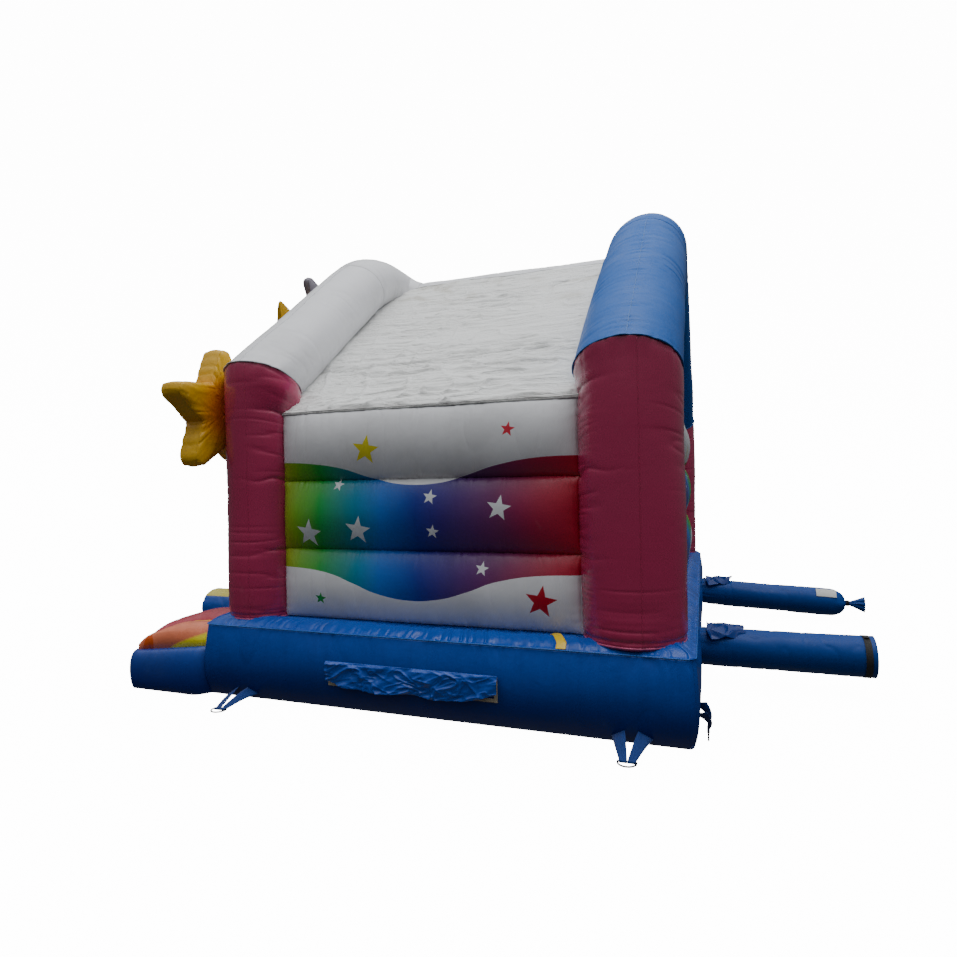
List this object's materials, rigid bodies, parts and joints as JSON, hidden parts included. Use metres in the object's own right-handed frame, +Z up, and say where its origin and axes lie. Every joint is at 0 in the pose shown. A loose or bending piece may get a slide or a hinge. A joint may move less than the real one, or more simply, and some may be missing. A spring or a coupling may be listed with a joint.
{
  "type": "inflatable bounce house",
  "caption": "Walled inflatable bounce house on an air bed, with corner columns, gabled front, arched back, sloped cloth roof, entrance ramp and blower sleeves.",
  "frame": {"origin": "middle of the air bed's underside, on the ground", "axes": "+Z up, entrance ramp towards -Y, blower sleeves towards +Y, zip side towards +X"},
  "size_m": [5.508, 5.6334, 3.8511],
  "materials": {
    "heavy_blue_vinyl": "heavy coated vinyl, semi-gloss",
    "blue_vinyl": "coated vinyl tarpaulin, glossy",
    "sky_blue_vinyl": "coated vinyl tarpaulin, glossy",
    "pink_vinyl": "coated vinyl tarpaulin, glossy",
    "white_vinyl": "coated vinyl tarpaulin, satin",
    "printed_wall_vinyl": "printed vinyl tarpaulin, rainbow band and stars",
    "printed_ramp_vinyl": "printed vinyl tarpaulin, warm stripes",
    "roof_cloth": "thin coated cloth, matt",
    "gold_vinyl": "coated vinyl tarpaulin, glossy",
    "silver_vinyl": "coated vinyl tarpaulin, glossy",
    "yellow_vinyl": "coated vinyl strip, glossy",
    "baffle_cloth": "uncoated woven cloth, matt",
    "sleeve_nylon": "coated sleeve cloth, satin",
    "blue_webbing": "woven webbing, matt",
    "black_webbing": "woven webbing, matt",
    "black_steel": "black coated steel wire",
    "label_film": "blank white label film",
    "zip_tape": "beige woven zip tape",
    "zip_coil_nylon": "black nylon coil",
    "zip_metal": "nickel plated slider and pull"
  },
  "bodies": {
    "house": {"anchor_webs": "blue_webbing", "back_wall_low": "printed_wall_vinyl", "back_wall_middle": "printed_wall_vinyl", "back_wall_top": "printed_wall_vinyl", "bed_baffles": "baffle_cloth", "bed_side_back": "blue_vinyl", "bed_side_front": "blue_vinyl", "bed_side_left": "blue_vinyl", "bed_side_right": "blue_vinyl", "bed_underside": "heavy_blue_vinyl", "blower_sleeve": "sleeve_nylon", "blower_sleeve_strap": "black_webbing", "column_back_left": "pink_vinyl", "column_back_right": "pink_vinyl", "column_front_left": "pink_vinyl", "column_front_right": "pink_vinyl", "column_star_left": "gold_vinyl", "column_star_right": "gold_vinyl", "crown_back": "sky_blue_vinyl", "crown_front": "white_vinyl", "eave_baffles": "baffle_cloth", "gable_star_gold": "gold_vinyl", "gable_star_silver": "silver_vinyl", "jumping_bed_sheet": "blue_vinyl", "margin_tab": "yellow_vinyl", "rafter_back_left": "sky_blue_vinyl", "rafter_back_right": "sky_blue_vinyl", "rafter_front_left": "white_vinyl", "rafter_front_right": "white_vinyl", "ramp_bolster_left": "blue_vinyl", "ramp_bolster_right": "blue_vinyl", "ramp_skin": "blue_vinyl", "ramp_top_sheet": "printed_ramp_vinyl", "ridge_tube": "white_vinyl", "roof_sheet_left": "roof_cloth", "roof_sheet_right": "roof_cloth", "side_wall_left_low": "printed_wall_vinyl", "side_wall_left_middle": "printed_wall_vinyl", "side_wall_left_top": "printed_wall_vinyl", "side_wall_right_low": "printed_wall_vinyl", "side_wall_right_middle": "printed_wall_vinyl", "side_wall_right_top": "printed_wall_vinyl", "sleeve_label": "label_film", "spare_sleeve": "sleeve_nylon", "spare_sleeve_tail": "sleeve_nylon", "spare_sleeve_tie": "black_webbing", "zip_coils": "zip_coil_nylon", "zip_frame": "zip_tape"},
    "anchor_ring_right_front": {"anchor_ring_right_front": "black_steel"},
    "anchor_ring_right_rear": {"anchor_ring_right_rear": "black_steel"},
    "anchor_ring_right_back": {"anchor_ring_right_back": "black_steel"},
    "sleeve_hood_right": {"sleeve_hood_right": "blue_vinyl"},
    "anchor_ring_left_front": {"anchor_ring_left_front": "black_steel"},
    "anchor_ring_left_rear": {"anchor_ring_left_rear": "black_steel"},
    "anchor_ring_left_back": {"anchor_ring_left_back": "black_steel"},
    "sleeve_hood_left": {"sleeve_hood_left": "blue_vinyl"},
    "zip_cover": {"zip_cover_flap": "blue_vinyl"},
    "zip_slider": {"zip_slider": "zip_metal"},
    "zip_pull": {"zip_pull": "zip_metal"}
  },
  "joints": [
    {"name": "anchor_ring_right_front_swing", "type": "hinge", "parent": "house", "child": "anchor_ring_right_front", "pos_m": [2.69, -1.33, 0.0095], "axis": [0, -1, 0], "range_deg": [0, 130]},
    {"name": "anchor_ring_right_rear_swing", "type": "hinge", "parent": "house", "child": "anchor_ring_right_rear", "pos_m": [2.69, 1.33, 0.0095], "axis": [0, -1, 0], "range_deg": [0, 130]},
    {"name": "anchor_ring_right_back_swing", "type": "hinge", "parent": "house", "child": "anchor_ring_right_back", "pos_m": [2.28, 1.735, 0.07], "axis": [1, 0, 0], "range_deg": [0, 120]},
    {"name": "sleeve_hood_right_lift", "type": "hinge", "parent": "house", "child": "sleeve_hood_right", "pos_m": [1.2, 1.735, 0.4065], "axis": [1, 0, 0], "range_deg": [0, 100]},
    {"name": "anchor_ring_left_front_swing", "type": "hinge", "parent": "house", "child": "anchor_ring_left_front", "pos_m": [-2.69, -1.33, 0.0095], "axis": [0, 1, 0], "range_deg": [0, 130]},
    {"name": "anchor_ring_left_rear_swing", "type": "hinge", "parent": "house", "child": "anchor_ring_left_rear", "pos_m": [-2.69, 1.33, 0.0095], "axis": [0, 1, 0], "range_deg": [0, 130]},
    {"name": "anchor_ring_left_back_swing", "type": "hinge", "parent": "house", "child": "anchor_ring_left_back", "pos_m": [-2.28, 1.735, 0.07], "axis": [1, 0, 0], "range_deg": [0, 120]},
    {"name": "sleeve_hood_left_lift", "type": "hinge", "parent": "house", "child": "sleeve_hood_left", "pos_m": [-1.2, 1.735, 0.3825], "axis": [1, 0, 0], "range_deg": [0, 100]},
    {"name": "zip_cover_lift", "type": "hinge", "parent": "house", "child": "zip_cover", "pos_m": [2.5155, -0.03, 0.338], "axis": [0, -1, 0], "range_deg": [0, 150]},
    {"name": "zip_slider_slide", "type": "slide", "parent": "house", "child": "zip_slider", "axis": [0, 1, 0], "range_m": [0, 1.06]},
    {"name": "zip_pull_swing", "type": "hinge", "parent": "zip_slider", "child": "zip_pull", "pos_m": [2.504, -0.56, 0.247], "axis": [1, 0, 0], "range_deg": [-25, 25]}
  ]
}
